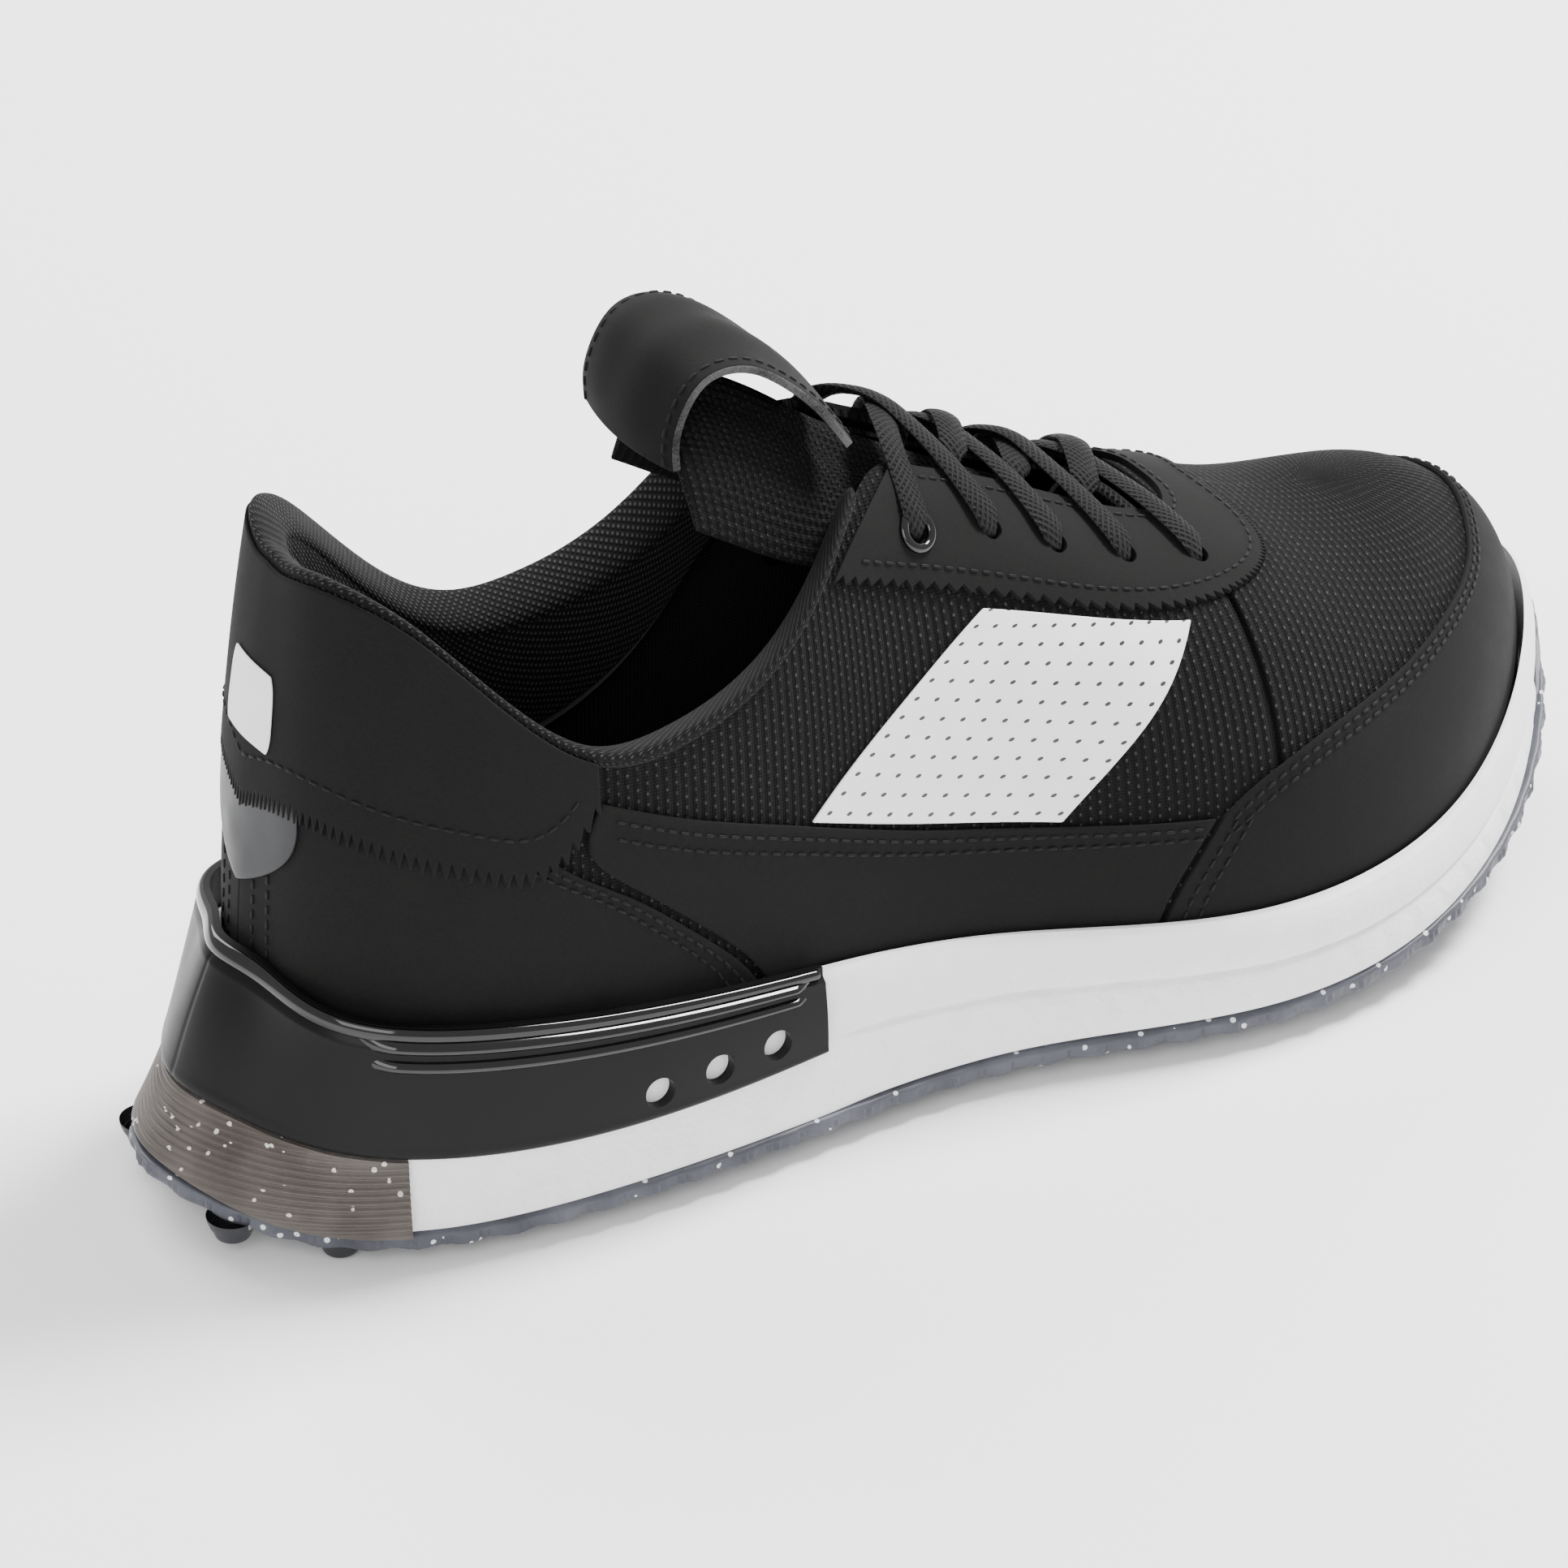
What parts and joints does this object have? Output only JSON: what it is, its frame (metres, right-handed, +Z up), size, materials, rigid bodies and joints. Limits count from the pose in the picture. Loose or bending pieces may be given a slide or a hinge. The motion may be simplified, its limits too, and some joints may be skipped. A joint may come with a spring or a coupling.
{
  "type": "golf shoe",
  "caption": "Low-cut spikeless golf shoe, right foot: foam cup sole with heel clip and rubber lugs, mesh upper with overlays, padded tongue and collar, laced throat.",
  "frame": {"origin": "centre of the shoe's bounding box footprint, on the ground plane under the lugs", "axes": "+X from heel to toe, +Y to the medial side, +Z up"},
  "size_m": [0.2968, 0.105, 0.1463],
  "materials": {
    "outsole_rubber": "speckled translucent rubber",
    "lug_rubber": "moulded rubber",
    "shank_plastic": "moulded nylon",
    "foam_white": "moulded foam, finely textured",
    "clip_tpu": "satin with gloss ridges",
    "wrap_rubber": "ribbed translucent rubber",
    "board": "non-woven board",
    "sockliner_foam": "fabric-topped foam",
    "stiffener": "thermoformed sheet",
    "mesh_black": "ribbed engineered mesh",
    "lining": "coarse twill mesh",
    "collar_foam": "open-cell foam",
    "binding": "rolled fabric edge",
    "nubuck_black": "matte brushed synthetic nubuck",
    "saddle_white": "smooth coated synthetic",
    "tab_grey": "smooth coated tab",
    "ring_black": "glossy bonded ring",
    "tongue_mesh": "ribbed spacer mesh",
    "lace_black": "flat braid",
    "aglet_clear": "clear sleeve"
  },
  "bodies": {
    "shoe": {"collar_binding": "binding", "collar_lining": "lining", "collar_padding": "collar_foam", "eyelet_rings": "ring_black", "eyestay": "nubuck_black", "heel_cap": "nubuck_black", "heel_clip": "clip_tpu", "heel_counter": "stiffener", "heel_half_moon_tab": "tab_grey", "heel_patch": "saddle_white", "heel_rubber_wrap": "wrap_rubber", "lace_aglets": "aglet_clear", "laces": "lace_black", "lateral_heel_panel": "nubuck_black", "lateral_quarter_band": "nubuck_black", "lateral_quarter_lining": "lining", "lateral_quarter_mesh": "mesh_black", "lateral_saddle": "saddle_white", "medial_heel_panel": "nubuck_black", "medial_quarter_band": "nubuck_black", "medial_quarter_lining": "lining", "medial_quarter_mesh": "mesh_black", "medial_saddle": "saddle_white", "midsole": "foam_white", "outsole": "outsole_rubber", "shank": "shank_plastic", "sockliner": "sockliner_foam", "strobel_board": "board", "toe_bumper": "outsole_rubber", "toe_puff": "stiffener", "toe_rand": "nubuck_black", "traction_lugs": "lug_rubber", "vamp_lining": "lining", "vamp_mesh": "mesh_black"},
    "tongue": {"tongue": "tongue_mesh", "tongue_pull_tab": "nubuck_black"}
  },
  "joints": [
    {"name": "tongue_hinge", "type": "hinge", "parent": "shoe", "child": "tongue", "pos_m": [0.05896, 0.00653, 0.0815], "axis": [0, 1, 0], "range_deg": [-5, 0], "stiffness_Nm_per_rad": 0.3, "springref_deg": 6.88}
  ]
}
